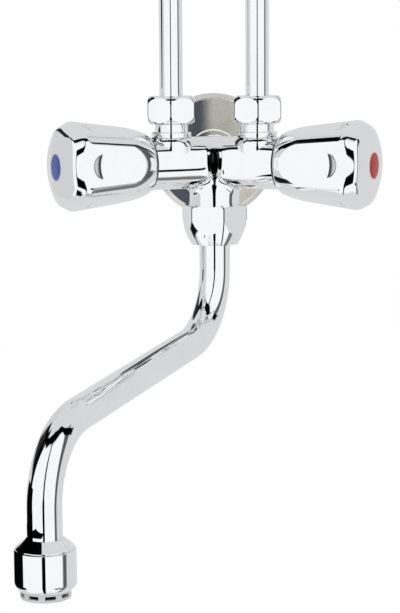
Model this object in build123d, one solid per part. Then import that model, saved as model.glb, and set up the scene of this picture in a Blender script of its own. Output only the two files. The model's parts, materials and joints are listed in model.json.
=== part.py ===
from build123d import *
import os
from math import atan2, cos, degrees, radians, sin, tan

# Wall-mounted two-handle mixer tap for a heater above the sink, in millimetres.
# Origin: centre of the inlet on the wall plane.  +X right, +Y into the wall, +Z up.
# Two arms lean towards the user from the spout's axis; each holds a valve and a knob.
# A valve's pieces are drawn along +Z with the origin where the arm meets the spout's axis,
# and "height" in their names is the distance from there along the arm.

# ---- general clearances ----
flat_gap = 0.05
thread_gap = 0.1
running_gap = 0.05
free_gap = 0.3
solder_gap = 0.03
oring_side_gap = 0.2
oring_stand = 0.02
past = 1.0  # how far a cut runs past the face that it opens
same_place = 0.01  # two places nearer than this are the same

# ---- where the main axes lie ----
wall_to_spout_axis = 60.0
arm_lean = 26.0
pipe_from_arm_end = 13.4

# ---- body casting ----
arm_radius = 13.5
arm_length = 38.0
hub_blend = 4.5
neck_radius = 13.0
neck_bottom = -22.0
spout_thread_radius = 13.2
spout_thread_bottom = -35.0
inlet_boss_radius = 14.0
inlet_boss_end = -6.0
inlet_thread_radius = 9.5
inlet_thread_depth = 26.0
inlet_passage_radius = 6.0
supply_passage_radius = 4.5
mixing_passage_radius = 2.6
mixing_passage_drop = 9.2

# ---- valve seat and chamber in each arm ----
seat_depth = 20.0
seat_bore_radius = 5.5
seat_rim_radius = 7.2
seat_rim_rise = 1.5
chamber_radius = 9.3
bonnet_thread_radius = 10.4
bonnet_thread_depth = 8.0

# ---- pipe bosses, pipes and their nuts ----
boss_foot_radius = 12.6
boss_foot_height = 9.0
boss_collar_radius = 10.3
boss_collar_bottom = 13.1
boss_collar_top = 16.2
boss_collar_rounding = 0.6
boss_flare_radius = 8.2
boss_neck_radius = 8.6
pipe_thread_radius = 8.33
pipe_thread_bottom = 19.8
pipe_thread_top = 28.0
pipe_radius = 6.0
pipe_wall = 1.0
pipe_bottom = 18.5
pipe_top = 175.0
pipe_nut_across_flats = 24.0
pipe_nut_bottom = 20.2
pipe_nut_top = 34.5
pipe_nut_rounding = 5.4
pipe_nut_end_radius = 10.9
olive_radius = 7.5
olive_land = 1.3
olive_cone = 1.3

# ---- rosette and wall nipple ----
rosette_radius = 34.0
rosette_wall = 1.2
rosette_rim_depth = 3.0
rosette_bevel = 2.6
rosette_depth = 8.5
rosette_bore_gap = 0.4
rosette_bend_inset = 0.5
rosette_rounding = 0.9
nipple_thread_radius = 10.48
nipple_bore_radius = 6.5
nipple_behind_wall = 14.0
nipple_collar_radius = 12.5
nipple_collar_length = 3.0
nipple_chamfer = 0.8
seal_ring_thickness = 1.0
seal_ring_outer_radius = 12.2
seal_ring_bore_gap = 0.2

# ---- bonnet (headwork) ----
gasket_thickness = 1.0
gasket_outer_radius = 12.6
bonnet_hex_across_flats = 22.0
bonnet_hex_length = 7.0
bonnet_hex_rounding = 1.0
bonnet_neck_radius = 8.0
bonnet_neck_length = 7.8
guide_hex_across_flats = 13.0
guide_hex_rise = 7.6

# ---- jumper, seat washer and its screw ----
washer_radius = 7.4
washer_thickness = 4.0
jumper_disc_radius = 7.8
jumper_disc_thickness = 2.5
jumper_stem_length = 16.0
jumper_bore_depth = 10.7
jumper_lift = 5.0
washer_screw_radius = 1.5
washer_screw_head_radius = 3.0
washer_screw_head = 1.6
washer_screw_depth = 4.0
washer_screw_slot_width = 0.8
washer_screw_slot_depth = 0.8

# ---- spindle ----
spindle_thread_radius = 3.0
spindle_collar_radius = 6.2
spindle_collar_thickness = 2.0
spindle_stem_radius = 4.5
oring_rise = 11.5
oring_section_radius = 0.68
circlip_thickness = 0.9
circlip_outer_radius = 6.0
circlip_groove_radius = 3.6
circlip_opening = 70.0
spline_rise = 17.8
spline_length = 10.2
spline_tip_radius = 4.0
spline_root_radius = 3.6
spline_teeth = 20
knob_screw_radius = 1.95
knob_screw_head_radius = 3.5
knob_screw_head = 2.8
knob_screw_length = 13.0
knob_screw_rounding = 0.9
knob_screw_drive_length = 4.0
knob_screw_drive_width = 0.9
knob_screw_drive_depth = 1.2

# ---- spline insert inside the knob ----
insert_stand = 0.4
insert_length = 10.8
insert_tip_radius = 7.0
insert_root_radius = 6.5
insert_teeth = 24

# ---- knob ----
knob_sides = 5
knob_turn_up = 2.5
knob_lip_gap = 1.3
knob_lip_radius = 16.4
knob_lip_bead = 1.1
knob_shoulder_rise = 5.7
knob_shoulder_radius = 19.0
knob_shoulder_bulge = 0.6
knob_corner_rise = 39.9
knob_corner_radius = 23.6
knob_cap_edge_rise = 6.8
knob_cap_edge_radius = 19.9
knob_dome_rise = 3.0
knob_bore_radius = 13.9
knob_bore_widening = 3.4
knob_end_wall_rise = 36.7
knob_hub_radius = 9.2
knob_web_thickness = 3.0
knob_screw_well_radius = 4.4
petal_lip_radius = 16.6
petal_head_radius = 21.0
band_facet_rise = 7.8
band_facet_radius = 18.2
nick_chord_drop = 7.8
nick_length = 4.9
nick_radius = 6.4
nick_depth = 0.9

# ---- index disc ----
index_disc_radius = 6.9
index_disc_thickness = 2.6
index_disc_crown = 0.5
index_plug_length = 3.0
index_disc_gap = 0.1

# ---- spout nut and slip rings ----
spout_nut_across_flats = 30.0
spout_nut_turn = -14.0
spout_nut_hex_top = -22.6
spout_nut_hex_bottom = -43.0
spout_nut_ring_radius = 13.6
spout_nut_ring_height = 0.5
spout_nut_rounding = 2.0
spout_nut_shoulder = -29.5
spout_nut_end_radius = 12.2
spout_nut_bulge = 0.62
slip_ring_thickness = 0.9

# ---- spout ----
spout_radius = 8.0
spout_wall = 1.0
spout_rest_turn = -25.5
spout_reach = 180.0
spout_upper_corner = -88.0
spout_fall = 22.0
spout_leg = 49.0
spout_bend_radius = 36.0
spout_sleeve_radius = 10.44
spout_sleeve_top = -18.0
spout_collar_radius = 12.3
spout_collar_thickness = 2.4
spout_oring_centre = -25.0
spout_oring_section_radius = 0.9
spout_bore_top = -9.0

# ---- outlet and aerator ----
outlet_cone_lap = 3.0
outlet_cone_length = 4.2
outlet_cone_radius = 13.3
outlet_cone_edge = 0.4
outlet_rim = 0.4
outlet_thread_radius = 11.9
outlet_thread_length = 6.5
aerator_radius = 14.0
aerator_drop = 18.8
aerator_end_radius = 12.4
aerator_round = 3.4
aerator_top_round = 0.8
aerator_lip_radius = 11.5
aerator_lip_thickness = 1.6
aerator_gasket_thickness = 1.5
aerator_gasket_bore_radius = 8.5
aerator_screen_thickness = 0.6
aerator_insert_radius = 11.9
aerator_ring_radius = 11.4
aerator_ring_wall = 1.6
aerator_ring_drop = 3.9
aerator_ring_recess = 1.5
aerator_ring_turn = -9.0
aerator_cup_depth = 3.0
aerator_windows = 9
aerator_window_width = 4.9
aerator_window_height = 1.7
aerator_window_sill = 1.2
aerator_hole_radius = 0.9
aerator_hole_rings = 3
aerator_hole_pitch = 3.0

# ---- sizes that follow from the ones above ----
spout_axis = (0, -wall_to_spout_axis, 0)
pipe_along_arm = arm_length - pipe_from_arm_end
seat_height = arm_length - seat_depth
chamber_top = arm_length - bonnet_thread_depth
bonnet_seat_height = arm_length + gasket_thickness
bonnet_neck_bottom = bonnet_seat_height + bonnet_hex_length
bonnet_top = bonnet_neck_bottom + bonnet_neck_length
guide_hex_top = arm_length + guide_hex_rise
washer_top = seat_height + washer_thickness
jumper_disc_top = washer_top + jumper_disc_thickness
jumper_stem_top = washer_top + jumper_stem_length
jumper_bore_bottom = jumper_stem_top - jumper_bore_depth
spindle_collar_top = guide_hex_top - running_gap
spindle_collar_bottom = spindle_collar_top - spindle_collar_thickness
spindle_end = jumper_bore_bottom + jumper_lift + free_gap
oring_centre_height = arm_length + oring_rise
spline_bottom = arm_length + spline_rise
spline_top = spline_bottom + spline_length
insert_bottom = spline_bottom + insert_stand
insert_top = insert_bottom + insert_length
knob_web_top = insert_top + knob_web_thickness
spindle_tap_bottom = knob_web_top - knob_screw_length - free_gap
knob_lip_height = arm_length + knob_lip_gap
knob_shoulder_height = knob_lip_height + knob_shoulder_rise
knob_corner_height = knob_lip_height + knob_corner_rise
knob_cap_edge_height = knob_corner_height + knob_cap_edge_rise
knob_apex_height = knob_cap_edge_height + knob_dome_rise
knob_end_wall_height = knob_lip_height + knob_end_wall_rise
nick_chord_height = knob_corner_height - nick_chord_drop
cap_dome_radius = (knob_cap_edge_radius**2 + knob_dome_rise**2) / (2 * knob_dome_rise)
inlet_thread_end = inlet_boss_end - inlet_thread_depth
olive_inner_radius = pipe_radius + solder_gap
olive_bottom = pipe_thread_top - olive_cone + flat_gap
olive_widest = olive_bottom + olive_radius - olive_inner_radius
spout_collar_top = spout_thread_bottom - slip_ring_thickness - 2 * flat_gap
spout_collar_bottom = spout_collar_top - spout_collar_thickness
spout_lower_ring_bottom = spout_collar_bottom - slip_ring_thickness - 2 * flat_gap
spout_lower_corner = spout_upper_corner - spout_fall
spout_end = spout_lower_corner - spout_leg
outlet_cone_top = spout_end + outlet_cone_lap
outlet_cone_bottom = outlet_cone_top - outlet_cone_length
outlet_rim_bottom = outlet_cone_bottom - outlet_rim
aerator_top = outlet_rim_bottom - flat_gap
outlet_thread_bottom = outlet_rim_bottom - outlet_thread_length
aerator_screen_top = outlet_thread_bottom - 2 * flat_gap - aerator_gasket_thickness
aerator_bottom = outlet_cone_bottom - aerator_drop
aerator_ring_bottom = aerator_bottom - aerator_ring_drop
aerator_ledge = aerator_bottom + aerator_lip_thickness + flat_gap


# ---- shapes used again and again ----
def rod(radius, bottom, top):
    """A cylinder on Z between two heights."""
    cylinder = Cylinder(radius, top - bottom, align=(Align.CENTER, Align.CENTER, Align.MIN))
    return Pos(0, 0, bottom) * cylinder


def ring(outer, inner, bottom, top):
    """A tube on Z: outer and inner radius, and its two heights."""
    return rod(outer, bottom, top) - rod(inner, bottom - past, top + past)


def hexagon_bar(across_flats, bottom, top):
    outline = RegularPolygon(across_flats / 2, 6, major_radius=False)
    return extrude(Pos(0, 0, bottom) * outline, top - bottom)


def turned(points):
    """A solid of revolution about Z from (radius, height) points."""
    outline = Plane.XZ * Polyline(*points, close=True)
    return revolve(make_face(outline), Axis.Z)


def turned_outline(edges):
    """A solid of revolution about Z from lines and arcs drawn in (radius, height)."""
    return revolve(make_face([Plane.XZ * edge for edge in edges]), Axis.Z)


def oring(centre_radius, section_radius, height):
    return Pos(0, 0, height) * Torus(centre_radius, section_radius)


def toothed_bar(tip_radius, root_radius, teeth, bottom, top):
    """A bar with straight V-shaped splines."""
    points = []
    for i in range(teeth):
        middle = 360 * i / teeth
        for turn, radius in ((-0.25, root_radius), (0.25, tip_radius)):
            angle = radians(middle + 360 * turn / teeth)
            points.append((radius * cos(angle), radius * sin(angle)))
    outline = Polyline(*points, close=True)
    return extrude(Pos(0, 0, bottom) * make_face(outline), top - bottom)


def arm_place(side):
    """Where a valve's own frame lies: side is -1 on the left and 1 on the right."""
    lean = radians(arm_lean)
    outward = (side * cos(lean), -sin(lean), 0)
    return Plane(origin=spout_axis, x_dir=(0, 0, 1), z_dir=outward).location


def pipe_place(side):
    lean = radians(arm_lean)
    across = side * pipe_along_arm * cos(lean)
    forward = wall_to_spout_axis + pipe_along_arm * sin(lean)
    return Pos(across, -forward, 0)


def wall_place():
    """The inlet's frame: its Z runs out of the wall connection, along the row's +Y."""
    return Plane(origin=(0, 0, 0), x_dir=(1, 0, 0), z_dir=(0, 1, 0)).location


# ---- body casting and what is fixed to it ----
def pipe_boss():
    """Flared foot, collar and threaded nipple that carries a pipe."""
    foot = turned_outline(
        [
            Line((0, 0), (boss_foot_radius, 0)),
            Line((boss_foot_radius, 0), (boss_foot_radius, boss_foot_height)),
            RadiusArc(
                (boss_foot_radius, boss_foot_height),
                (boss_collar_radius, boss_collar_bottom),
                -boss_flare_radius,
            ),
            Line((boss_collar_radius, boss_collar_bottom), (0, boss_collar_bottom)),
            Line((0, boss_collar_bottom), (0, 0)),
        ]
    )
    collar = rod(boss_collar_radius, boss_collar_bottom, boss_collar_top)
    collar = fillet(collar.edges().filter_by(GeomType.CIRCLE), boss_collar_rounding)
    neck = rod(boss_neck_radius, boss_collar_bottom, pipe_thread_bottom)
    thread = rod(pipe_thread_radius, pipe_thread_bottom, pipe_thread_top)
    return foot + collar + neck + thread


def pipe_boss_bore():
    """Room for the pipe, its cone seat for the olive, and the way down to the chamber."""
    seat_top_radius = olive_inner_radius + olive_cone
    cone = turned(
        [
            (0, pipe_thread_top - olive_cone),
            (olive_inner_radius, pipe_thread_top - olive_cone),
            (seat_top_radius, pipe_thread_top),
            (0, pipe_thread_top),
        ]
    )
    socket = rod(pipe_radius + running_gap, pipe_bottom - flat_gap, pipe_thread_top)
    passage = rod(pipe_radius - pipe_wall, 0, pipe_bottom)
    return cone + socket + passage


def valve_chamber():
    """Supply passage, raised seat, chamber and bonnet thread along one arm."""
    seat_floor = seat_height - seat_rim_rise
    chamber = ring(chamber_radius, seat_rim_radius, seat_floor, seat_height + flat_gap)
    chamber += rod(chamber_radius, seat_height, chamber_top)
    mouth = rod(bonnet_thread_radius + thread_gap, chamber_top, arm_length + past)
    seat_bore = rod(seat_bore_radius, seat_floor - past, seat_height + past)
    return chamber + mouth + seat_bore + rod(supply_passage_radius, 0, seat_floor)


def body_casting():
    arms = [arm_place(side) * rod(arm_radius, 0, arm_length) for side in (-1, 1)]
    neck = Pos(spout_axis) * rod(neck_radius, neck_bottom, 0)
    hub = Pos(spout_axis) * Sphere(arm_radius)
    boss_start = -wall_to_spout_axis
    inlet = wall_place() * rod(inlet_boss_radius, boss_start, inlet_boss_end)
    shape = arms[0] + arms[1] + neck + hub
    crossing = [
        edge
        for edge in shape.edges()
        if edge.geom_type not in (GeomType.CIRCLE, GeomType.LINE)
    ]
    shape = fillet(crossing, hub_blend)
    shape += inlet
    bosses = [pipe_place(side) * pipe_boss() for side in (-1, 1)]
    shape = shape + bosses[0] + bosses[1]
    shape += Pos(spout_axis) * rod(spout_thread_radius, spout_thread_bottom, neck_bottom + past)
    for side in (-1, 1):
        shape -= arm_place(side) * valve_chamber()
        shape -= pipe_place(side) * pipe_boss_bore()
    shape -= wall_place() * rod(inlet_thread_radius + thread_gap, inlet_thread_end, 0)
    shape -= wall_place() * rod(inlet_passage_radius, boss_start, inlet_thread_end)
    shape -= Pos(spout_axis) * rod(
        spout_sleeve_radius + running_gap, spout_thread_bottom - past, spout_bore_top
    )
    mixing_passage = rod(mixing_passage_radius, 0, seat_height + past)
    shape -= arm_place(-1) * Pos(-mixing_passage_drop, 0, 0) * mixing_passage
    return shape


def wall_rosette():
    bore = inlet_boss_radius + rosette_bore_gap
    bevel_radius = rosette_radius - rosette_bevel
    bevel_depth = rosette_rim_depth + rosette_bevel
    outer = [
        (rosette_radius, 0),
        (rosette_radius, -rosette_rim_depth),
        (bevel_radius, -bevel_depth),
        (bore, -rosette_depth),
    ]
    inner = [
        (bore, -rosette_depth + rosette_wall),
        (bevel_radius - rosette_bend_inset, -bevel_depth + rosette_wall),
        (rosette_radius - rosette_wall, -rosette_rim_depth + rosette_bend_inset),
        (rosette_radius - rosette_wall, 0),
    ]
    plate = turned(outer + inner)
    bends = ((rosette_radius, rosette_rim_depth), (bevel_radius, bevel_depth))
    rim = [
        edge
        for edge in plate.edges().filter_by(GeomType.CIRCLE)
        for radius, depth in bends
        if abs(edge.radius - radius) < same_place and abs(edge.center().Z + depth) < same_place
    ]
    return wall_place() * fillet(rim, rosette_rounding)


def inlet_nipple():
    collar_start = inlet_boss_end + seal_ring_thickness
    collar_end = collar_start + nipple_collar_length
    shape = rod(inlet_thread_radius, inlet_thread_end + free_gap, collar_end)
    shape += rod(nipple_collar_radius, collar_start, collar_end)
    shape += rod(nipple_thread_radius, collar_end, nipple_behind_wall)
    outer_end = shape.edges().filter_by(GeomType.CIRCLE).sort_by(Axis.Z)[-1]
    shape = chamfer(outer_end, nipple_chamfer)
    bore = rod(nipple_bore_radius, inlet_thread_end, nipple_behind_wall + past)
    return wall_place() * (shape - bore)


def inlet_seal_ring():
    bore = inlet_thread_radius + seal_ring_bore_gap
    end = inlet_boss_end + seal_ring_thickness
    return wall_place() * ring(seal_ring_outer_radius, bore, inlet_boss_end, end)


def heater_pipe(side):
    pipe = ring(pipe_radius, pipe_radius - pipe_wall, pipe_bottom, pipe_top)
    return pipe_place(side) * pipe


def olive(side):
    shape = turned(
        [
            (olive_inner_radius, olive_bottom),
            (olive_radius, olive_widest),
            (olive_radius, olive_widest + olive_land),
            (olive_inner_radius, olive_widest + olive_land + olive_cone),
        ]
    )
    return pipe_place(side) * shape


def rounded_envelope(corner_radius, end_radius, bottom, top, rounding):
    """A turned barrel that rounds the corners of a hexagon towards both ends."""
    outline = [
        Line((0, bottom), (end_radius, bottom)),
        TangentArc((corner_radius, bottom + rounding), (end_radius, bottom), tangent=(0, -1)),
        Line((corner_radius, bottom + rounding), (corner_radius, top - rounding)),
        TangentArc((corner_radius, top - rounding), (end_radius, top), tangent=(0, 1)),
        Line((end_radius, top), (0, top)),
        Line((0, top), (0, bottom)),
    ]
    return turned_outline(outline)


def hexagon_corner(across_flats):
    return across_flats / 2 / cos(radians(30))


def pipe_nut(side):
    envelope = rounded_envelope(
        hexagon_corner(pipe_nut_across_flats),
        pipe_nut_end_radius,
        pipe_nut_bottom,
        pipe_nut_top,
        pipe_nut_rounding,
    )
    bar = Rot(0, 0, 30) * hexagon_bar(pipe_nut_across_flats, pipe_nut_bottom, pipe_nut_top)
    cone_start = olive_widest + olive_land + flat_gap
    thread_room = pipe_thread_radius + thread_gap
    olive_room = olive_radius + flat_gap
    pipe_room = pipe_radius + 2 * running_gap
    thread_room_top = pipe_thread_top + free_gap
    room = turned(
        [
            (0, pipe_nut_bottom - past),
            (thread_room, pipe_nut_bottom - past),
            (thread_room, thread_room_top),
            (olive_room, thread_room_top + thread_room - olive_room),
            (olive_room, cone_start),
            (pipe_room, cone_start + olive_cone),
            (pipe_room, pipe_nut_top + past),
            (0, pipe_nut_top + past),
        ]
    )
    return pipe_place(side) * ((bar & envelope) - room)


# ---- valve pieces, drawn along the arm ----
def bonnet_gasket():
    return ring(
        gasket_outer_radius, bonnet_thread_radius + thread_gap, arm_length, bonnet_seat_height
    )


def bonnet():
    thread = rod(bonnet_thread_radius, chamber_top + free_gap, bonnet_seat_height)
    head = hexagon_bar(bonnet_hex_across_flats, bonnet_seat_height, bonnet_neck_bottom)
    head &= rounded_envelope(
        hexagon_corner(bonnet_hex_across_flats),
        bonnet_hex_across_flats / 2,
        bonnet_seat_height,
        bonnet_neck_bottom,
        bonnet_hex_rounding,
    )
    neck = rod(bonnet_neck_radius, bonnet_neck_bottom, bonnet_top)
    guide = hexagon_bar(guide_hex_across_flats + 2 * running_gap, chamber_top, guide_hex_top)
    stem_hole = rod(spindle_stem_radius + running_gap, guide_hex_top - past, bonnet_top + past)
    return thread + head + neck - guide - stem_hole


def seat_washer():
    return ring(washer_radius, washer_screw_radius + flat_gap, seat_height, washer_top)


def jumper():
    disc = rod(jumper_disc_radius, washer_top, jumper_disc_top)
    stem = hexagon_bar(guide_hex_across_flats, washer_top, jumper_stem_top)
    thread_hole = rod(
        spindle_thread_radius + running_gap, jumper_bore_bottom, jumper_stem_top + past
    )
    screw_hole_end = washer_top + washer_screw_depth + free_gap
    screw_hole = rod(washer_screw_radius + flat_gap, washer_top - past, screw_hole_end)
    return disc + stem - thread_hole - screw_hole


def washer_screw():
    head_bottom = seat_height - washer_screw_head
    head = rod(washer_screw_head_radius, head_bottom, seat_height)
    slot = Box(2 * washer_radius, washer_screw_slot_width, 2 * washer_screw_slot_depth)
    head -= Pos(0, 0, head_bottom) * slot
    return head + rod(washer_screw_radius, seat_height, washer_top + washer_screw_depth)


def spindle():
    thread = rod(spindle_thread_radius, spindle_end, spindle_collar_bottom)
    collar = rod(spindle_collar_radius, spindle_collar_bottom, spindle_collar_top)
    stem = rod(spindle_stem_radius, spindle_collar_top, spline_bottom)
    groove_half = oring_section_radius + oring_side_gap
    groove_floor = spindle_stem_radius - 2 * oring_section_radius
    stem -= ring(
        spindle_stem_radius + past,
        groove_floor,
        oring_centre_height - groove_half,
        oring_centre_height + groove_half,
    )
    stem -= ring(
        spindle_stem_radius + past,
        circlip_groove_radius,
        bonnet_top + flat_gap,
        bonnet_top + 3 * flat_gap + circlip_thickness,
    )
    splines = toothed_bar(
        spline_tip_radius, spline_root_radius, spline_teeth, spline_bottom, spline_top
    )
    screw_hole = rod(knob_screw_radius + flat_gap, spindle_tap_bottom, spline_top + past)
    return thread + collar + stem + splines - screw_hole


def spindle_oring():
    centre = spindle_stem_radius - oring_section_radius + oring_stand
    return oring(centre, oring_section_radius, oring_centre_height)


def spindle_circlip():
    bottom = bonnet_top + 2 * flat_gap
    clip = ring(
        circlip_outer_radius, circlip_groove_radius + flat_gap, bottom, bottom + circlip_thickness
    )
    half = radians(circlip_opening / 2)
    far = 2 * circlip_outer_radius
    opening = make_face(
        Polyline((0, 0), (far, far * tan(half)), (far, -far * tan(half)), close=True)
    )
    return clip - extrude(Pos(0, 0, bottom - past) * opening, circlip_thickness + 2 * past)


def spline_insert():
    outside = toothed_bar(
        insert_tip_radius, insert_root_radius, insert_teeth, insert_bottom, insert_top
    )
    inside = toothed_bar(
        spline_tip_radius + flat_gap,
        spline_root_radius + flat_gap,
        spline_teeth,
        insert_bottom - past,
        insert_top + past,
    )
    return outside - inside


def knob_screw():
    shank = rod(knob_screw_radius, knob_web_top - knob_screw_length, knob_web_top)
    head = rod(knob_screw_head_radius, knob_web_top, knob_web_top + knob_screw_head)
    top_edge = head.edges().filter_by(GeomType.CIRCLE).sort_by(Axis.Z)[-1]
    head = fillet(top_edge, knob_screw_rounding)
    bar = Box(knob_screw_drive_length, knob_screw_drive_width, 2 * knob_screw_drive_depth)
    drive = Pos(0, 0, knob_web_top + knob_screw_head) * (bar + Rot(0, 0, 90) * bar)
    return shank + head - drive


def index_disc():
    edge_height = knob_face_height(index_disc_radius)
    disc = rod(index_disc_radius, edge_height - index_disc_thickness, edge_height)
    crown_radius = (index_disc_radius**2 + index_disc_crown**2) / (2 * index_disc_crown)
    crown = Pos(0, 0, edge_height + index_disc_crown - crown_radius) * Sphere(crown_radius)
    crown &= rod(index_disc_radius, edge_height - past, edge_height + past)
    plug_bottom = edge_height - index_disc_thickness - index_plug_length
    plug = rod(knob_screw_well_radius - index_disc_gap, plug_bottom, edge_height - past)
    return disc + crown + plug


# ---- knob ----
def knob_face_height(radius):
    """Height of the domed cap at a distance from the knob's axis."""
    return knob_apex_height - radius**2 / (2 * cap_dome_radius)


def knob_blank():
    """The turned shape before the finger petals are cut."""
    lip_edge = (knob_lip_radius - knob_lip_bead, knob_lip_height)
    lip_side = (knob_lip_radius, knob_lip_height + knob_lip_bead)
    shoulder = (knob_shoulder_radius, knob_shoulder_height)
    corner = (knob_corner_radius, knob_corner_height)
    cap_edge = (knob_cap_edge_radius, knob_cap_edge_height)
    cap_middle = (knob_cap_edge_radius / 2, knob_face_height(knob_cap_edge_radius / 2))
    apex = (0, knob_apex_height)
    outline = [
        Line((0, knob_lip_height), lip_edge),
        TangentArc(lip_edge, lip_side, tangent=(1, 0)),
        SagittaArc(lip_side, shoulder, -knob_shoulder_bulge),
        Line(shoulder, corner),
        Line(corner, cap_edge),
        ThreePointArc(cap_edge, cap_middle, apex),
        Line(apex, (0, knob_lip_height)),
    ]
    return turned_outline(outline)


def petal_slope():
    """How steeply the flat of a petal climbs towards the head, as a tangent."""
    return (petal_head_radius - petal_lip_radius) / knob_corner_rise


def petal_cutter():
    """A bar across one side, on local +X, whose lower face is the petal and the band facet."""
    outer_radius = 2 * knob_corner_radius
    start = knob_lip_height - past
    end = knob_apex_height + past
    start_radius = petal_lip_radius - petal_slope() * past
    facet_slope = (petal_head_radius - band_facet_radius) / band_facet_rise
    end_radius = petal_head_radius - facet_slope * (end - knob_corner_height)
    outline = Polyline(
        (start_radius, start),
        (petal_head_radius, knob_corner_height),
        (end_radius, end),
        (outer_radius, end),
        (outer_radius, start),
        close=True,
    )
    return extrude(make_face(Plane.XZ * outline), knob_corner_radius, both=True)


def nick_cutter():
    """Tilted disc that leaves a crescent in the petal close to the knob's head."""
    slope = atan2(petal_slope(), 1)
    tilt = atan2(nick_depth, nick_length)
    floor_radius = petal_head_radius - petal_slope() * nick_chord_drop
    disc = Pos(nick_length - nick_radius, 0, 0) * rod(nick_radius, 0, knob_corner_radius)
    lay = Rot(0, 90, 0) * Rot(0, 0, 180)
    on_petal = Pos(floor_radius, 0, nick_chord_height) * Rot(0, degrees(slope - tilt), 0)
    return on_petal * lay * disc


def knob():
    shape = knob_blank()
    for i in range(knob_sides):
        turn = Rot(0, 0, 360 * i / knob_sides)
        shape -= turn * petal_cutter()
        shape -= turn * nick_cutter()
    hollow = turned(
        [
            (0, knob_lip_height - past),
            (knob_bore_radius, knob_lip_height - past),
            (knob_bore_radius, knob_lip_height),
            (knob_bore_radius + knob_bore_widening, knob_end_wall_height),
            (0, knob_end_wall_height),
        ]
    )
    shape -= hollow
    shape += rod(knob_hub_radius, insert_bottom, knob_end_wall_height + past)
    shape -= toothed_bar(
        insert_tip_radius + flat_gap,
        insert_root_radius + flat_gap,
        insert_teeth,
        insert_bottom - past,
        insert_top,
    )
    shape -= rod(knob_screw_radius + free_gap, insert_top - past, knob_web_top + past)
    disc_floor = knob_face_height(index_disc_radius) - index_disc_thickness - flat_gap
    shape -= rod(knob_screw_well_radius, knob_web_top, knob_apex_height)
    shape -= rod(index_disc_radius + index_disc_gap, disc_floor, knob_apex_height + past)
    return shape


# ---- spout ----
def spout_turned(shape):
    """Swing a piece of the spout from straight forward to where the photograph shows it."""
    return Pos(spout_axis) * Rot(0, 0, spout_rest_turn) * shape


def spout_route():
    corners = [
        (0, 0, spout_sleeve_top),
        (0, 0, spout_upper_corner),
        (0, -spout_reach, spout_lower_corner),
        (0, -spout_reach, spout_end),
    ]
    return FilletPolyline(*corners, radius=spout_bend_radius)


def spout_tube():
    route = spout_route()
    outline = Circle(spout_radius) - Circle(spout_radius - spout_wall)
    start = Plane(origin=route @ 0, z_dir=route % 0)
    return spout_turned(sweep(start * outline, path=route))


def spout_sleeve():
    sleeve = rod(spout_sleeve_radius, spout_collar_bottom, spout_sleeve_top)
    sleeve += rod(spout_collar_radius, spout_collar_bottom, spout_collar_top)
    sleeve -= rod(spout_radius + solder_gap, spout_collar_bottom - past, spout_sleeve_top + past)
    groove_half = spout_oring_section_radius + oring_side_gap
    groove = ring(
        spout_sleeve_radius + past,
        spout_sleeve_radius - 2 * spout_oring_section_radius,
        spout_oring_centre - groove_half,
        spout_oring_centre + groove_half,
    )
    return Pos(spout_axis) * (sleeve - groove)


def spout_oring():
    centre = spout_sleeve_radius - spout_oring_section_radius + oring_stand
    return Pos(spout_axis) * oring(centre, spout_oring_section_radius, spout_oring_centre)


def spout_upper_ring():
    bottom = spout_collar_top + flat_gap
    return Pos(spout_axis) * ring(
        spout_collar_radius, spout_sleeve_radius + free_gap, bottom, bottom + slip_ring_thickness
    )


def spout_lower_ring():
    bottom = spout_lower_ring_bottom + flat_gap
    return Pos(spout_axis) * ring(
        spout_collar_radius, spout_radius + free_gap, bottom, bottom + slip_ring_thickness
    )


def spout_nut():
    corner = hexagon_corner(spout_nut_across_flats)
    bar = hexagon_bar(spout_nut_across_flats, spout_nut_hex_bottom, spout_nut_hex_top)
    flat_edge = corner - spout_nut_rounding
    side_top = spout_nut_hex_top - spout_nut_rounding
    envelope = turned_outline(
        [
            Line((0, spout_nut_hex_top), (flat_edge, spout_nut_hex_top)),
            TangentArc((flat_edge, spout_nut_hex_top), (corner, side_top), tangent=(1, 0)),
            Line((corner, side_top), (corner, spout_nut_shoulder)),
            SagittaArc(
                (corner, spout_nut_shoulder),
                (spout_nut_end_radius, spout_nut_hex_bottom),
                spout_nut_bulge,
            ),
            Line((spout_nut_end_radius, spout_nut_hex_bottom), (0, spout_nut_hex_bottom)),
            Line((0, spout_nut_hex_bottom), (0, spout_nut_hex_top)),
        ]
    )
    ring_top = spout_nut_hex_top + spout_nut_ring_height
    shape = (bar & envelope) + rod(spout_nut_ring_radius, spout_nut_hex_top - past, ring_top)
    ledge = spout_lower_ring_bottom
    shape -= rod(spout_thread_radius + thread_gap, ledge, ring_top + past)
    shape -= rod(spout_radius + free_gap, spout_nut_hex_bottom - past, ledge + past)
    return Pos(spout_axis) * Rot(0, 0, spout_nut_turn) * shape


# ---- outlet and aerator, drawn on the outlet's own axis ----
def outlet_place():
    return Pos(spout_axis) * Rot(0, 0, spout_rest_turn) * Pos(0, -spout_reach, 0)


def spout_outlet_collar():
    top_radius = spout_radius + outlet_cone_edge
    shape = turned(
        [
            (0, outlet_cone_top),
            (top_radius, outlet_cone_top),
            (outlet_cone_radius, outlet_cone_bottom),
            (outlet_cone_radius, outlet_rim_bottom),
            (outlet_thread_radius, outlet_rim_bottom),
            (outlet_thread_radius, outlet_thread_bottom),
            (0, outlet_thread_bottom),
        ]
    )
    shape -= rod(spout_radius + solder_gap, spout_end - flat_gap, outlet_cone_top + past)
    shape -= rod(spout_radius - spout_wall, outlet_thread_bottom - past, spout_end)
    return outlet_place() * shape


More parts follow.
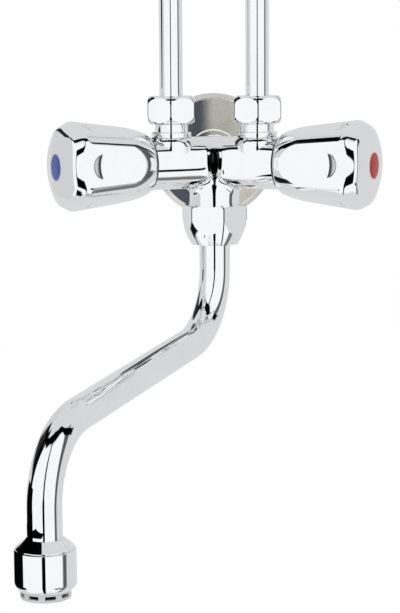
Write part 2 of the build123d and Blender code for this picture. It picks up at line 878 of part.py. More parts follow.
def aerator_housing():
    round_top = aerator_top - aerator_top_round
    round_bottom = aerator_bottom + aerator_round
    top_edge = aerator_radius - aerator_top_round
    outline = [
        Line((0, aerator_top), (top_edge, aerator_top)),
        TangentArc((top_edge, aerator_top), (aerator_radius, round_top), tangent=(1, 0)),
        Line((aerator_radius, round_top), (aerator_radius, round_bottom)),
        TangentArc(
            (aerator_radius, round_bottom), (aerator_end_radius, aerator_bottom), tangent=(0, -1)
        ),
        Line((aerator_end_radius, aerator_bottom), (0, aerator_bottom)),
        Line((0, aerator_bottom), (0, aerator_top)),
    ]
    shape = turned_outline(outline)
    lip_top = aerator_bottom + aerator_lip_thickness
    shape -= rod(outlet_thread_radius + thread_gap, lip_top, aerator_top + past)
    shape -= rod(aerator_lip_radius, aerator_bottom - past, lip_top + past)
    return outlet_place() * shape


def aerator_gasket():
    top = outlet_thread_bottom - flat_gap
    outer = aerator_insert_radius - flat_gap
    return outlet_place() * ring(
        outer, aerator_gasket_bore_radius, top - aerator_gasket_thickness, top
    )


def hole_spots():
    """Centres of the jet holes, on rings round the outlet's axis."""
    spots = [(0.0, 0.0)]
    for i in range(1, aerator_hole_rings + 1):
        for k in range(6 * i):
            angle = radians(360 * k / (6 * i))
            out = i * aerator_hole_pitch
            spots.append((out * cos(angle), out * sin(angle)))
    return spots


def jet_holes(bottom, top):
    return [Pos(x, y, 0) * rod(aerator_hole_radius, bottom, top) for x, y in hole_spots()]


def aerator_screen():
    bottom = aerator_screen_top - aerator_screen_thickness
    disc = rod(aerator_insert_radius, bottom, aerator_screen_top)
    return outlet_place() * (disc - jet_holes(bottom - past, aerator_screen_top + past))


def aerator_insert():
    top = aerator_screen_top - aerator_screen_thickness - flat_gap
    recess_top = aerator_ledge + aerator_ring_recess
    shape = rod(aerator_insert_radius, aerator_ledge, top)
    shape += rod(aerator_ring_radius, aerator_ring_bottom, aerator_ledge)
    shape -= rod(aerator_ring_radius - aerator_ring_wall, aerator_ring_bottom - past, recess_top)
    shape -= rod(aerator_insert_radius - aerator_ring_wall, top - aerator_cup_depth, top + past)
    window = Box(3 * aerator_ring_wall, aerator_window_width, aerator_window_height)
    window_height = aerator_ring_bottom + aerator_window_sill + aerator_window_height / 2
    for i in range(aerator_windows):
        turn = Rot(0, 0, aerator_ring_turn + 360 * i / aerator_windows)
        shape -= turn * Pos(aerator_ring_radius, 0, window_height) * window
    return outlet_place() * (shape - jet_holes(aerator_ledge, top))


# ---- write every piece ----
def valve_nodes():
    """The pieces of one valve and its knob, in the valve's own frame."""
    return {
        "bonnet_gasket": bonnet_gasket(),
        "bonnet": bonnet(),
        "seat_washer": seat_washer(),
        "jumper": jumper(),
        "washer_screw": washer_screw(),
        "spindle": spindle(),
        "spindle_oring": spindle_oring(),
        "spindle_circlip": spindle_circlip(),
        "spline_insert": spline_insert(),
        "knob_screw": knob_screw(),
        "knob": knob(),
        "index_disc": index_disc(),
    }


def all_nodes():
    nodes = {
        "body_casting": body_casting(),
        "wall_rosette": wall_rosette(),
        "inlet_nipple": inlet_nipple(),
        "inlet_seal_ring": inlet_seal_ring(),
        "spout_nut": spout_nut(),
        "spout_upper_ring": spout_upper_ring(),
        "spout_lower_ring": spout_lower_ring(),
        "spout_tube": spout_tube(),
        "spout_sleeve": spout_sleeve(),
        "spout_oring": spout_oring(),
        "spout_outlet_collar": spout_outlet_collar(),
        "aerator_housing": aerator_housing(),
        "aerator_gasket": aerator_gasket(),
        "aerator_screen": aerator_screen(),
        "aerator_insert": aerator_insert(),
    }
    for name, side in (("heater_return", -1), ("heater_feed", 1)):
        nodes[name + "_pipe"] = heater_pipe(side)
        nodes[name + "_olive"] = olive(side)
        nodes[name + "_nut"] = pipe_nut(side)
    valve = valve_nodes()
    for name, side in (("cold", -1), ("hot", 1)):
        turn = Rot(0, 0, side * (90 - knob_turn_up))
        for piece, shape in valve.items():
            nodes[name + "_" + piece] = arm_place(side) * turn * shape
    return nodes


os.makedirs("parts", exist_ok=True)
for node, solid in all_nodes().items():
    export_step(solid, f"parts/{node}.step")
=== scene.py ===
import json
import math

import bpy
import numpy as np
from mathutils import Matrix, Vector


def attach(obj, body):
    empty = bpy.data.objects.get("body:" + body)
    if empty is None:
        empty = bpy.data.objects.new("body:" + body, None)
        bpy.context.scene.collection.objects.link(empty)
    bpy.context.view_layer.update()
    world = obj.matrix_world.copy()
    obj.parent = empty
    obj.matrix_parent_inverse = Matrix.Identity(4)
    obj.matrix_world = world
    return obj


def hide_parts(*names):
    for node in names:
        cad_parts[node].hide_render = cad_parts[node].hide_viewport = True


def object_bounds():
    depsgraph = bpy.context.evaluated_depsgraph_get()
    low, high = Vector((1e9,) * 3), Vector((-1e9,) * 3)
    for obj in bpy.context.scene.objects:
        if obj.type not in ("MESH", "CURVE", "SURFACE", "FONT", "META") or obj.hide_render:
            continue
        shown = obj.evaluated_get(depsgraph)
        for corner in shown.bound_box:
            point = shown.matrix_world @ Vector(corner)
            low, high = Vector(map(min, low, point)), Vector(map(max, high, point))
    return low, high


# The looks of a wall-mounted two-handle mixer tap.  Metres; +X right, +Y into the wall, +Z up.

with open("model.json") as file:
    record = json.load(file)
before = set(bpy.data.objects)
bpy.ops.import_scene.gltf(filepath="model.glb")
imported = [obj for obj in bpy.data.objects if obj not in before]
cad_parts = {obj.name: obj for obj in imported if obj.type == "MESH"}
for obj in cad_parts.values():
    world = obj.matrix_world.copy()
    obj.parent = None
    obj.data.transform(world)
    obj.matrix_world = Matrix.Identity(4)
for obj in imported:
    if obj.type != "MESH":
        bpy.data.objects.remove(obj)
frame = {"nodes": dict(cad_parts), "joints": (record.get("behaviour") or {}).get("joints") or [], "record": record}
cad_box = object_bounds()
mm = 0.001
in_degrees = 180 / math.pi

# ---- where the photograph was taken from ----
picture_height_px = 613
camera_place = (-0.00789, -0.99042, 0.06135)
camera_focal_px = 1778.0
camera_pitch = math.radians(8.43)
camera_roll = math.radians(-0.32)
sensor_size = 36.0

# ---- body ----
spout_axis_y = -60.0 * mm
arm_lean = math.radians(26.0)
pipe_nut_x = 22.1 * mm
pipe_nut_y = -70.79 * mm
nut_sides = 6
spout_nut_turn = 16.0

# ---- knob: heights are measured along the arm, from the spout's axis ----
knob_sides = 5
knob_turn_up = math.radians(2.5)
knob_lip_height = 39.3 * mm
knob_lip_radius = 16.4 * mm
knob_lip_bead = 1.1 * mm
knob_shoulder_height = 45.0 * mm
knob_shoulder_radius = 19.0 * mm
knob_corner_height = 79.2 * mm
knob_corner_radius = 23.6 * mm
knob_cap_edge_height = 86.0 * mm
knob_cap_edge_radius = 19.9 * mm
knob_apex_height = 89.0 * mm
petal_lip_radius = 16.6 * mm
petal_head_radius = 21.0 * mm
band_facet_height = 87.0 * mm
band_facet_radius = 18.2 * mm
nick_chord_height = 71.4 * mm
nick_length = 4.9 * mm
nick_radius = 6.4 * mm
nick_depth = 0.9 * mm
knob_bore_radius = 13.9 * mm
knob_bore_widening = 3.4 * mm
knob_end_wall_height = 76.0 * mm
knob_hub_radius = 9.2 * mm
knob_hub_bottom = 56.2 * mm
knob_socket_radius = 7.05 * mm
knob_socket_top = 67.0 * mm
knob_web_top = 70.0 * mm
knob_screw_hole_radius = 2.25 * mm
knob_well_radius = 4.4 * mm
disc_recess_radius = 7.0 * mm
disc_recess_depth = 2.65 * mm
disc_height = 88.0 * mm
knob_edge_softness = 1.5 * mm
knob_head_softness = 1.1 * mm
knob_lip_softness = 1.6 * mm
nick_softness = 0.35 * mm
knob_view_height = 76.0 * mm
knob_row_step = 0.3 * mm
knob_columns = 360
knob_halvings = 32

# ---- plating ----
plate_tint = (0.93, 0.94, 0.955)
plate_haze_tint = tuple(0.93 * channel for channel in plate_tint)
plate_haze_size = 9 * mm
# colours of painted shade: in the body's valley and in the finger nicks, and of the painted dark reflection lines
# along the nut corners
hub_dark = (0.008, 0.008, 0.012)
nick_dark = (0.025, 0.027, 0.03)
corner_reflection_dark = (0.02, 0.02, 0.022)


# ---- shader maths ----
class Wire:
    """A shader socket; arithmetic on it adds Math nodes."""

    def __init__(self, paint, socket):
        self.paint = paint
        self.socket = socket

    def __add__(self, other):
        return self.paint.maths("ADD", self, other)

    def __radd__(self, other):
        return self.paint.maths("ADD", other, self)

    def __sub__(self, other):
        return self.paint.maths("SUBTRACT", self, other)

    def __rsub__(self, other):
        return self.paint.maths("SUBTRACT", other, self)

    def __mul__(self, other):
        return self.paint.maths("MULTIPLY", self, other)

    def __rmul__(self, other):
        return self.paint.maths("MULTIPLY", other, self)

    def __truediv__(self, other):
        return self.paint.maths("DIVIDE", self, other)

    def __pow__(self, other):
        return self.paint.maths("POWER", self, other)

    def __abs__(self):
        return self.paint.maths("ABSOLUTE", self)

    def __neg__(self):
        return 0 - self

    def most(self, other):
        return self.paint.maths("MAXIMUM", self, other)

    def least(self, other):
        return self.paint.maths("MINIMUM", self, other)


class Paint:
    """A node tree being written: the material of a finish, or the studio's surroundings."""

    def __init__(self, tree):
        self.tree = tree
        self.tree.nodes.clear()

    def node(self, kind, settings=None, sockets=None):
        """Adds a node, its settings first and then its sockets; gives back all its outputs."""
        made = self.tree.nodes.new(kind)
        for name, value in (settings or {}).items():
            setattr(made, name, value)
        for name, value in (sockets or {}).items():
            if isinstance(value, Wire):
                self.tree.links.new(value.socket, made.inputs[name])
            else:
                made.inputs[name].default_value = value
        return [Wire(self, socket) for socket in made.outputs]

    def maths(self, operation, *terms):
        return self.node("ShaderNodeMath", {"operation": operation}, dict(enumerate(terms)))[0]

    def step(self, value, edge, softness):
        """0 below the edge and 1 above it, with a smooth change of that width."""
        low = edge - softness / 2
        high = edge + softness / 2
        settings = {"interpolation_type": "SMOOTHSTEP"}
        sockets = {"Value": value, "From Min": low, "From Max": high}
        return self.node("ShaderNodeMapRange", settings, sockets)[0]

    def between(self, value, low, high, softness):
        return self.step(value, low, softness) * (1 - self.step(value, high, softness))

    def mix(self, share, first, second):
        """A colour between two colours."""
        colours = [(*c, 1) if isinstance(c, tuple) else c for c in (first, second)]
        sockets = {0: share, 6: colours[0], 7: colours[1]}
        return self.node("ShaderNodeMix", {"data_type": "RGBA"}, sockets)[2]

    def noise(self, place, scale, detail=2.0):
        sockets = {"Vector": place, "Scale": scale, "Detail": detail}
        return self.node("ShaderNodeTexNoise", {}, sockets)[0]

    def place(self):
        """Where a point lies on the piece, in metres."""
        return self.node("ShaderNodeTexCoord")[3]

    def axes(self, vector):
        return self.node("ShaderNodeSeparateXYZ", {}, {0: vector})

    def bump(self, height, distance, strength=1.0):
        sockets = {"Height": height, "Distance": distance, "Strength": strength}
        return self.node("ShaderNodeBump", {}, sockets)[0]


def new_material(name):
    material = bpy.data.materials.new(name)
    material.use_nodes = True
    return material, Paint(material.node_tree)


def finish_material(colour, roughness, metallic=0.0, normal=None, **constants):
    """Ends a material: one Principled shader fed by what the caller has made."""
    sockets = {"Base Color": colour, "Roughness": roughness, "Metallic": metallic}
    if normal is not None:
        sockets["Normal"] = normal
    for key, value in constants.items():
        sockets[key.replace("_", " ")] = value
    shader = colour.paint.node("ShaderNodeBsdfPrincipled", {}, sockets)[0]
    colour.paint.node("ShaderNodeOutputMaterial", {}, {"Surface": shader})


# ---- plated finishes ----
def chrome(name, wave_size, wave_height, painted_shade=None, painted_shade_colour=None, relief=None):
    """Mirror plate, faintly uneven and hazy; painted shade, painted dark reflections and relief are drawn by where
    a point lies.
    """
    material, paint = new_material(name)
    place = paint.place()
    haze = paint.noise(place, 1 / plate_haze_size, 3)
    height = paint.noise(place, 1 / wave_size, 1) * wave_height
    colour = paint.mix(haze, plate_tint, plate_haze_tint)
    # painted shade: a dark colour mixed into the plate where the mask says
    if painted_shade:
        colour = paint.mix(painted_shade(paint, place), colour, painted_shade_colour)
    if relief:
        height = height + relief(paint, place)
    finish_material(colour, 0.015 + 0.035 * haze ** 2, 1.0, paint.bump(height, 1.0))
    return material


def hub_fillet(paint, place):
    """Height of the fillet that fills the valley where the two arms of the body meet."""
    valley_radius = 4.85 * mm
    valley_half = 2.12 * mm
    arm_slope = 0.542
    fillet_middle = 2 * mm
    fillet_reach = 14 * mm
    flat_half = 3.7 * mm
    edge_softness = 1.2 * mm
    settling = 0.632 * mm
    x, y, z = paint.axes(place)
    inner = abs(x).least(valley_half)
    bend = paint.maths("LOGARITHM", 1 - (inner / valley_radius) ** 2, math.e)
    valley = bend * (-valley_radius / 2) + (abs(x) - inner) * arm_slope
    rise = (z - fillet_middle) / fillet_reach
    flat = (1 - rise * rise).most(0) * flat_half
    beyond = (abs(x) - flat).most(0)
    soft = (beyond * beyond + edge_softness ** 2) ** 0.5
    height = (flat + soft) * arm_slope - valley - settling
    return height * paint.step(z, -10 * mm, 12 * mm)


def hub_shade(paint, place):
    """Shade in that valley: a drop where the arms meet, with a tail that runs down the neck."""
    drop_middle = 2.5 * mm
    drop_reach = 9 * mm
    drop_half = 2.7 * mm
    tail_half = 0.55 * mm
    tail_widening = 0.35 * mm
    tail_bottom = -22 * mm
    drop_top = 7.8 * mm
    front = 66 * mm
    x, y, z = paint.axes(place)
    rise = (z - drop_middle) / drop_reach
    drop = (1 - rise * rise).most(0) * drop_half
    tail = tail_half + tail_widening * paint.step(z, -9 * mm, 8 * mm)
    inside = drop.most(tail) - abs(x)
    down_the_front = paint.between(z, tail_bottom, drop_top, 1 * mm) * paint.step(-y, front, 3 * mm)
    return 0.96 * paint.step(inside, 0, 0.5 * mm) * down_the_front


def nick_shade(paint, place):
    """Shade in the finger nicks: deepest at both edges, and strong in the petal facing the user."""
    inner_bow = 15.8 * mm
    inner_rise = 1.2 * mm
    x, y, z = paint.axes(place)
    out = abs(x)
    back = y - spout_axis_y
    height = out * math.cos(arm_lean) - back * math.sin(arm_lean)
    towards = -back * math.cos(arm_lean) - out * math.sin(arm_lean)
    radius = (towards * towards + z * z) ** 0.5
    sector = 2 * math.pi / knob_sides
    before_first_petal = math.pi / 2 - knob_turn_up - sector / 2
    turned = paint.maths("ARCTAN2", towards, z) + (2 * math.pi - before_first_petal)
    sideways = radius * (paint.maths("MODULO", turned, sector) - sector / 2)
    along = height - nick_chord_height
    round_edge = along - (nick_length - nick_radius)
    to_round_edge = nick_radius - (round_edge * round_edge + sideways * sideways) ** 0.5
    inner_edge = along + (inner_bow - inner_rise)
    past_inner_edge = (inner_edge * inner_edge + sideways * sideways) ** 0.5 - inner_bow
    within = paint.step(to_round_edge, 0.1 * mm, 0.3 * mm)
    within = within * paint.step(past_inner_edge, 0, 0.3 * mm)
    fading = 0.97 - 0.57 * paint.step(past_inner_edge, 1.5 * mm, 1.5 * mm)
    round_line = 0.85 - 0.85 * paint.step(to_round_edge, 0.45 * mm, 0.3 * mm)
    facing_user = 0.15 + 0.85 * paint.step(towards, 13 * mm, 4 * mm)
    return within * fading.most(round_line) * facing_user


def painted_nut_corner_lines(centre_x, centre_y, first_corner):
    """Painted reflection: what draws a dark line along each corner between two flats of a nut, in place of the
    dark gaps that a rounded corner would mirror.
    """
    sector = 360 / nut_sides
    corner_line_half = 0.32 * mm

    def painted_corner_lines(paint, place):
        x, y, z = paint.axes(place)
        across = x - centre_x
        towards = centre_y - y
        turn = paint.maths("ARCTAN2", across, towards) * in_degrees
        turn = turn + (360 + sector / 2 - first_corner)
        past = abs(paint.maths("MODULO", turn, sector) - sector / 2) / in_degrees
        distance = (across * across + towards * towards) ** 0.5 * past
        return 1 - paint.step(distance, corner_line_half, 0.3 * mm)

    return painted_corner_lines


def nut_plate(name, centre_x, centre_y, first_corner=0.0):
    # nut chrome with painted dark reflection lines along its corners
    painted_corner_lines = painted_nut_corner_lines(centre_x, centre_y, first_corner)
    return chrome(name, 7 * mm, 0.010 * mm, painted_corner_lines, corner_reflection_dark)


# ---- other finishes ----
def satin_plate():
    """Satin cover plate: fine rings left by turning, a plainer rim, and shade on its left."""
    rim_radius = 31.0 * mm
    ring_scale = 6000.0
    material, paint = new_material("satin_plate")
    place = paint.place()
    x, y, z = paint.axes(place)
    radius = (x * x + z * z) ** 0.5
    settings = {"noise_dimensions": "1D"}
    rings = paint.node("ShaderNodeTexNoise", settings, {"W": radius, "Scale": ring_scale})[0]
    cloud = paint.noise(place, 1 / (6 * mm), 4)
    rim = paint.step(radius, rim_radius, 0.8 * mm)
    satin = paint.mix(cloud, (0.68, 0.65, 0.58), (0.80, 0.77, 0.70))
    lit = paint.step(x + cloud * (3 * mm), -2 * mm, 9 * mm)
    shaded = paint.mix(lit, (0.12, 0.135, 0.165), satin)
    colour = paint.mix(rim, shaded, (0.86, 0.84, 0.80))
    roughness = 0.38 - 0.16 * rim + 0.08 * rings
    finish_material(colour, roughness, 1.0, paint.bump(rings, 0.006 * mm, 0.6))
    return material


def enamel(name, side, shaded_tone, lit_tone, pale):
    """Glossy coloured disc with painted shade: darker on its side towards the tap and lighter on its outer side,
    with a pale ring round its edge.
    """
    shade_edge = 77.6 * mm
    pale_radius = 6.55 * mm
    material, paint = new_material(name)
    place = paint.place()
    x, y, z = paint.axes(place)
    drift = paint.noise(place, 1 / (3 * mm), 3)
    # painted shade and light: the disc's side towards the tap is drawn darker, its outer side lighter
    across = paint.step(x * side + drift * (0.6 * mm), shade_edge, 6 * mm)
    disc_y = spout_axis_y - disc_height * math.sin(arm_lean)
    along = (y - disc_y) / math.cos(arm_lean)
    edge = paint.step((along * along + z * z) ** 0.5, pale_radius, 0.5 * mm)
    colour = paint.mix(edge, paint.mix(across, shaded_tone, lit_tone), pale)
    gloss = {"Specular_IOR_Level": 0.2, "Coat_Weight": 0.08, "Coat_Roughness": 0.1}
    finish_material(colour, 0.3 + 0.08 * drift, **gloss)
    return material


def plain(name, first, second, roughness, grain, depth, metallic=0.0):
    """Cast, moulded or turned stuff with a fine grain."""
    material, paint = new_material(name)
    place = paint.place()
    grit = paint.noise(place, 1 / grain)
    colour = paint.mix(paint.noise(place, 1 / (4 * mm), 4), first, second)
    finish_material(colour, roughness + 0.12 * grit, metallic, paint.bump(grit, depth))
    return material


def grey(level):
    return (level, level, level)


def cloth(name, shade, glow):
    """Matt cloth on a studio card, which can also glow."""
    material, paint = new_material(name)
    weave = paint.noise(paint.place(), 400.0)
    colour = paint.mix(weave, grey(0.0), grey(shade))
    light = {"Emission_Color": (1, 1, 1, 1), "Emission_Strength": glow}
    finish_material(colour, 1.0, Specular_IOR_Level=0.0, **light)
    return material


finishes = {
    "chrome_brass": chrome("chrome_cast", 7 * mm, 0.010 * mm, hub_shade, hub_dark, hub_fillet),
    "chrome_tube": chrome("chrome_tube", 12 * mm, 0.008 * mm),
    "chrome_knob": chrome("chrome_knob", 9 * mm, 0.010 * mm, nick_shade, nick_dark),
    "satin_steel": satin_plate(),
    "blue_disc": enamel(
        "blue_enamel", -1, (0.006, 0.022, 0.17), (0.05, 0.10, 0.42), (0.50, 0.56, 0.78)
    ),
    "red_disc": enamel(
        "red_enamel", 1, (0.14, 0.002, 0.003), (0.44, 0.022, 0.018), (0.82, 0.56, 0.56)
    ),
    "bare_brass": plain(
        "turned_brass", (0.72, 0.50, 0.22), (0.82, 0.62, 0.32), 0.22, 0.2 * mm, 0.01 * mm, 1.0
    ),
    "fibre": plain(
        "fibre_board", (0.10, 0.085, 0.075), (0.15, 0.13, 0.115), 0.65, 0.15 * mm, 0.03 * mm
    ),
    "black_rubber": plain(
        "black_rubber", (0.012, 0.012, 0.013), (0.025, 0.025, 0.026), 0.5, 0.2 * mm, 0.01 * mm
    ),
    "white_plastic": plain(
        "white_acetal", (0.78, 0.78, 0.75), (0.84, 0.84, 0.82), 0.38, 0.3 * mm, 0.01 * mm
    ),
    "grey_plastic": plain(
        "grey_acetal", (0.60, 0.61, 0.62), (0.68, 0.69, 0.70), 0.32, 0.3 * mm, 0.02 * mm
    ),
    "stainless": plain(
        "stainless_steel", (0.58, 0.58, 0.57), (0.66, 0.66, 0.65), 0.25, 0.25 * mm, 0.01 * mm, 1.0
    ),
}
nut_finishes = {
    "heater_return_nut": nut_plate("return_nut_plate", -pipe_nut_x, pipe_nut_y),
    "heater_feed_nut": nut_plate("feed_nut_plate", pipe_nut_x, pipe_nut_y),
    "spout_nut": nut_plate("spout_nut_plate", 0, spout_axis_y, spout_nut_turn),
}
slot_of = {piece["node"]: piece["material_slot"] for piece in frame["record"]["subparts"]}
for name, obj in frame["nodes"].items():
    obj.data.materials.clear()
    obj.data.materials.append(nut_finishes.get(name, finishes[slot_of[name]]))


def add_object(name, data, finish=None):
    obj = bpy.data.objects.new(name, data)
    bpy.context.scene.collection.objects.link(obj)
    if finish:
        data.materials.append(finish)
    return obj


# ---- knobs with soft edges ----
def soft_most(values, softness):
    """The largest of several distances, with its creases rounded over."""
    result = values[0]
    for value in values[1:]:
        gap = np.maximum(softness - np.abs(result - value), 0.0) / softness
        result = np.maximum(result, value) + gap * gap * softness / 4
    return result


def outwards(start, end):
    """Unit (radius, height) direction out of a line between two places of a turned outline."""
    run = np.array(end) - np.array(start)
    length = math.hypot(*run)
    return run[1] / length, -run[0] / length


def beyond_line(across, height, start, end):
    """Distance of points beyond a line through two (radius, height) places, outwards positive."""
    out = outwards(start, end)
    return (across - start[0]) * out[0] + (height - start[1]) * out[1]


def outside_knob(points):
    """Distance outside the knob's outer skin, at points in the knob's own frame."""
    x, y, height = points[..., 0], points[..., 1], points[..., 2]
    radius = np.hypot(x, y)
    shoulder = (knob_shoulder_radius, knob_shoulder_height)
    corner = (knob_corner_radius, knob_corner_height)
    cap_edge = (knob_cap_edge_radius, knob_cap_edge_height)
    lip = (knob_lip_radius, knob_lip_height + knob_lip_bead)
    side = beyond_line(radius, height, shoulder, corner)
    band = beyond_line(radius, height, corner, cap_edge)
    rise = knob_apex_height - knob_cap_edge_height
    dome_radius = (knob_cap_edge_radius ** 2 + rise ** 2) / (2 * rise)
    dome = np.sqrt(radius ** 2 + (height - knob_apex_height + dome_radius) ** 2) - dome_radius
    petals = soft_most([side, band], knob_head_softness)
    nicks = np.full(radius.shape, np.inf)
    petal_start = (petal_lip_radius, knob_lip_height)
    petal_end = (petal_head_radius, knob_corner_height)
    facet_end = (band_facet_radius, band_facet_height)
    for k in range(knob_sides):
        angle = 2 * math.pi * k / knob_sides
        across = x * math.cos(angle) + y * math.sin(angle)
        sideways = y * math.cos(angle) - x * math.sin(angle)
        petal = beyond_line(across, height, petal_start, petal_end)
        facet = beyond_line(across, height, petal_end, facet_end)
        flat = soft_most([petal, facet], knob_head_softness)
        petals = soft_most([petals, flat], knob_edge_softness)
        nicks = np.minimum(nicks, outside_nick(across, sideways, height))
    shoulder_side = beyond_line(radius, height, lip, shoulder)
    skin = soft_most([petals, shoulder_side], 2 * knob_lip_softness)
    skin = soft_most([skin, knob_lip_height - height], knob_lip_softness)
    skin = soft_most([skin, dome], knob_head_softness)
    return soft_most([skin, -nicks], nick_softness)


def outside_nick(across, sideways, height):
    """Distance outside the tilted round cutter that leaves a crescent in one petal."""
    narrowing = petal_head_radius - petal_lip_radius
    slope = math.atan2(narrowing, knob_corner_height - knob_lip_height)
    tilt = math.atan2(nick_depth, nick_length)
    floor = petal_head_radius - math.tan(slope) * (knob_corner_height - nick_chord_height)
    lie = slope - tilt
    out = (across - floor) * math.cos(lie) - (height - nick_chord_height) * math.sin(lie)
    along = (across - floor) * math.sin(lie) + (height - nick_chord_height) * math.cos(lie)
    disc = np.hypot(along - (nick_length - nick_radius), sideways) - nick_radius
    return soft_most([disc, -out], nick_softness)


def knob_profile_spots():
    """Evenly spaced (radius, height) places along the knob's outside, from recess to bore."""
    corners = [
        (disc_recess_radius, knob_apex_height),
        (knob_cap_edge_radius, knob_cap_edge_height),
        (knob_corner_radius, knob_corner_height),
        (knob_shoulder_radius, knob_shoulder_height),
        (knob_lip_radius, knob_lip_height),
        (knob_bore_radius, knob_lip_height),
    ]
    spots = []
    for start, end in zip(corners, corners[1:]):
        steps = max(2, round(math.dist(start, end) / knob_row_step))
        for i in range(steps):
            share = i / steps
            spots.append([a + (b - a) * share for a, b in zip(start, end)])
    spots.append(corners[-1])
    return np.array(spots)


def knob_skin():
    """Outer skin as rows of points and their normals, found along rays from inside."""
    spots = knob_profile_spots()
    turns = np.linspace(0, 2 * math.pi, knob_columns, endpoint=False)
    centre = np.array([0, 0, knob_view_height])
    rays = np.empty((len(spots), knob_columns, 3))
    rays[..., 0] = spots[:, :1] * np.cos(turns)
    rays[..., 1] = spots[:, :1] * np.sin(turns)
    rays[..., 2] = spots[:, 1:] - knob_view_height
    rays /= np.linalg.norm(rays, axis=2, keepdims=True)
    low = np.zeros(rays.shape[:2])
    high = np.full(rays.shape[:2], 2 * knob_corner_radius + knob_view_height - knob_lip_height)
    for _ in range(knob_halvings):
        middle = (low + high) / 2
        inside = outside_knob(centre + rays * middle[..., None]) < 0
        low = np.where(inside, middle, low)
        high = np.where(inside, high, middle)
    points = centre + rays * low[..., None]
    normals = np.empty(points.shape)
    probe = 0.01 * mm
    for axis in range(3):
        offset = np.zeros(3)
        offset[axis] = probe
        normals[..., axis] = outside_knob(points + offset) - outside_knob(points - offset)
    normals /= np.linalg.norm(normals, axis=2, keepdims=True)
    return points, normals


def ring(turns, radius, height):
    """A ring about the axis, as rows of x, y and z."""
    level = np.full(len(turns), height)
    return np.stack([radius * np.cos(turns), radius * np.sin(turns), level], 1)


def turned_strip(start, end):
    """Two rings of points joined by one band: a straight stretch of a turned outline."""
    turns = np.linspace(0, 2 * math.pi, knob_columns, endpoint=False)
    points = np.array([ring(turns, *start), ring(turns, *end)])
    normals = np.array([ring(turns, *outwards(start, end))] * 2)
    return points, normals


def mesh_from_bands(name, bands):
    """One mesh from grids of points that close round the axis, with exact normals."""
    vertices, faces, normals = [], [], []
    for points, band_normals in bands:
        rows, columns = points.shape[:2]
        first = len(vertices)
        vertices.extend(points.reshape(-1, 3).tolist())
        normals.extend(band_normals.reshape(-1, 3).tolist())
        for i in range(rows - 1):
            for j in range(columns):
                k = (j + 1) % columns
                a = first + i * columns
                faces.append((a + j, a + columns + j, a + columns + k, a + k))
    mesh = bpy.data.meshes.new(name)
    mesh.from_pydata(vertices, [], faces)
    mesh.shade_smooth()
    mesh.normals_split_custom_set_from_vertices(normals)
    return mesh


def knob_bands():
    """The knob's skin, and its turned inside from the bore to the recess of the disc."""
    skin = knob_skin()
    recess_top = float(skin[0][0, 0, 2])
    recess_floor = recess_top - disc_recess_depth
    inside = [
        (knob_bore_radius, knob_lip_height),
        (knob_bore_radius + knob_bore_widening, knob_end_wall_height),
        (knob_hub_radius, knob_end_wall_height),
        (knob_hub_radius, knob_hub_bottom),
        (knob_socket_radius, knob_hub_bottom),
        (knob_socket_radius, knob_socket_top),
        (knob_screw_hole_radius, knob_socket_top),
        (knob_screw_hole_radius, knob_web_top),
        (knob_well_radius, knob_web_top),
        (knob_well_radius, recess_floor),
        (disc_recess_radius, recess_floor),
        (disc_recess_radius, recess_top),
    ]
    return [skin] + [turned_strip(a, b) for a, b in zip(inside, inside[1:])]


def knob_place(joint_name, side):
    """The knob's own frame: its axis from the joint, one petal turned towards the user."""
    joint = next(j for j in frame["joints"] if j["name"] == joint_name)
    along = Vector(joint["axis"]).normalized()
    up = Vector((0, 0, 1))
    rest = Matrix((up, along.cross(up), along)).transposed().to_4x4()
    turn = Matrix.Rotation(side * (math.pi / 2 - knob_turn_up), 4, "Z")
    return Matrix.Translation(Vector(joint["pos_m"])) @ rest @ turn


def knobs():
    bands = knob_bands()
    for side, name in ((-1, "cold_knob"), (1, "hot_knob")):
        mesh = mesh_from_bands(name, bands)
        mesh.transform(knob_place(name + "_turn", side))
        obj = add_object(name + "_shell", mesh, finishes["chrome_knob"])
        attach(obj, name)
        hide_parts(name)


# ---- dark mesh inside the slots of the jet ----
def jet_core():
    """A ring of fine mesh that stands behind the slots of the jet insert."""
    insert_wall = 2.6 * mm
    core_wall = 1.0 * mm
    set_back = 0.6 * mm
    core_top = 6.0 * mm
    corners = [Vector(corner) for corner in frame["nodes"]["aerator_insert"].bound_box]
    low = Vector([min(c[i] for c in corners) for i in range(3)])
    high = Vector([max(c[i] for c in corners) for i in range(3)])
    middle = (low + high) / 2
    radius = (high.x - low.x) / 2 - insert_wall
    bottom = low.z + set_back
    outside = turned_strip((radius, bottom), (radius, low.z + core_top))
    underside = turned_strip((radius - core_wall, bottom), (radius, bottom))
    mesh = mesh_from_bands("jet_core", [outside, underside])
    mesh.transform(Matrix.Translation((middle.x, middle.y, 0)))
    dark, lighter = (0.09, 0.10, 0.11), (0.20, 0.21, 0.22)
    gauze = plain("jet_mesh", dark, lighter, 0.5, 0.25 * mm, 0.05 * mm, 0.4)
    obj = add_object("jet_core", mesh, gauze)
    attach(obj, "spout")


# ---- studio: directions in degrees, side 0 towards the camera and growing to the right ----
def tent_arch(paint, side):
    """How high the dark arch over the tap stands in each direction."""
    arch = 61 + 9 * paint.between(side, -45, 60, 30)
    return arch - (-side - 60).most(0) * 0.3 - (side - 62).most(0) * 1.3


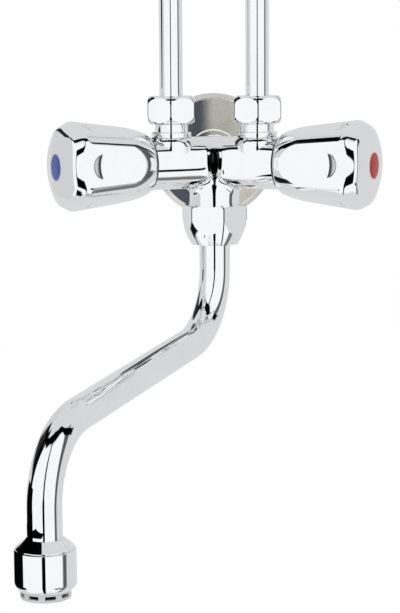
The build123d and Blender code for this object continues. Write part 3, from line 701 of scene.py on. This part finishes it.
def tent_gaps(paint, side, height):
    """Where the tent is dark: the gaps between its panels, 1 at their darkest."""
    slit_half = 4.2 + 2 * paint.step(-height, 3, 6)
    slit = paint.step(slit_half - abs(side + 1.5), 0, 1.5) * paint.between(height, -80, 64, 4)
    lean = (height - 6).most(0) * 0.3
    left = paint.between(side, -108, -89, 4).most(paint.between(side - lean, -100, -89, 4))
    arch = tent_arch(paint, side)
    arch_half = 4.5 + 4 * paint.between(side, -66, 85, 16)
    over = paint.step(arch_half - abs(height - arch), 0, 3) * paint.between(side, -150, 96, 6)
    under_arch = paint.step(height, 8, 8) * paint.step(arch - height, 0, 3)
    behind_left = paint.between(side, -150, -97, 8) * under_arch
    dark = slit.most(left * paint.between(height, -6, 60, 5)).most(over).most(0.82 * behind_left)
    for darkness, sides, heights in (
        (1.0, (40, 66, 8), (-30, -22, 3)),
        (0.9, (-112, -76, 8), (-36, -20, 4)),
        (0.6, (72, 88, 5), (-20, 42, 5)),
        (0.5, (68, 88, 6), (-62, -18, 5)),
    ):
        gap = paint.between(side, *sides) * paint.between(height, *heights)
        dark = dark.most(darkness * gap)
    return dark


def surroundings():
    """A white tent with dark gaps between its panels, which the plating mirrors."""
    screen_gamma = 2.2
    world = bpy.data.worlds.new("white_tent")
    bpy.context.scene.world = world
    world.use_nodes = True
    paint = Paint(world.node_tree)
    x, y, z = paint.axes(paint.node("ShaderNodeTexCoord")[0])
    side = paint.maths("ARCTAN2", x, -y) * in_degrees
    height = paint.maths("ARCSINE", z) * in_degrees
    panels = paint.between(side, -90, 74, 5) * paint.between(height, -62, 58, 6)
    tone = (0.87 + 0.14 * panels) * (1 - 0.96 * tent_gaps(paint, side, height))
    seen = paint.node("ShaderNodeLightPath")[0]
    strength = tone ** screen_gamma * (1 - seen) + seen
    sockets = {"Color": (1, 1, 1, 1), "Strength": strength}
    shader = paint.node("ShaderNodeBackground", {}, sockets)[0]
    paint.node("ShaderNodeOutputWorld", {}, {"Surface": shader})


def card(name, corners, finish):
    """A board beside the tap that only its plating sees."""
    mesh = bpy.data.meshes.new(name)
    mesh.from_pydata(corners, [], [tuple(range(len(corners)))])
    board = add_object(name, mesh, finish)
    board.visible_camera = False
    board.visible_diffuse = False
    board.visible_shadow = False


def cards():
    """Two black cards near the spout's end, and a pale one that the left knob mirrors."""
    beside_x = -0.118
    over_z = -0.1545
    by_knob_x = -0.16
    black = cloth("black_cloth", 0.003, 0.0)
    pale = cloth("pale_cloth", 0.02, 0.68)
    beside = [(-0.236, -0.13), (-0.20, -0.13), (-0.14, -0.20), (-0.236, -0.20)]
    over = [(-0.0945, -0.2395), (-0.0785, -0.2395), (-0.0785, -0.2055), (-0.0945, -0.2055)]
    by_knob = [
        (-0.13, -0.08), (-0.13, 0.1), (-0.09, 0.1), (-0.06, 0.035),
        (0.02, 0.035), (0.02, -0.04), (-0.05, -0.045), (-0.06, -0.08),
    ]
    card("card_beside", [(beside_x, y, z) for y, z in beside], black)
    card("card_over", [(x, y, over_z) for x, y in over], black)
    card("card_by_knob", [(by_knob_x, y, z) for y, z in by_knob], pale)


def pale_floor():
    """A pale floor below the tap, which fades out towards its edge."""
    reach = 1.6
    fade_radius = 1.0
    fade_width = 0.9
    below_tap = 120 * mm
    level = cad_box[0].z - below_tap
    mesh = bpy.data.meshes.new("pale_floor")
    square = [(-reach, -reach), (reach, -reach), (reach, reach), (-reach, reach)]
    mesh.from_pydata([(x, y, level) for x, y in square], [], [(0, 1, 2, 3)])
    material, paint = new_material("pale_floor")
    place = paint.place()
    x, y, z = paint.axes(place)
    alpha = 1 - paint.step((x * x + y * y) ** 0.5, fade_radius, fade_width)
    colour = paint.mix(paint.noise(place, 30.0), grey(0.86), grey(0.88))
    light = {"Emission_Color": (1, 1, 1, 1), "Emission_Strength": 0.46}
    finish_material(colour, 0.9, Alpha=alpha, **light)
    floor = add_object("pale_floor", mesh, material)
    floor.visible_glossy = False


def camera():
    data = bpy.data.cameras.new("camera")
    data.sensor_width = sensor_size
    data.lens = sensor_size * camera_focal_px / picture_height_px
    obj = add_object("camera", data)
    look = Matrix.Rotation(math.pi / 2 - camera_pitch, 4, "X")
    roll = Matrix.Rotation(camera_roll, 4, "Z")
    obj.matrix_world = Matrix.Translation(Vector(camera_place)) @ look @ roll
    bpy.context.scene.camera = obj


knobs()
jet_core()
surroundings()
cards()
pale_floor()
camera()
bpy.context.scene.view_settings.view_transform = "Standard"
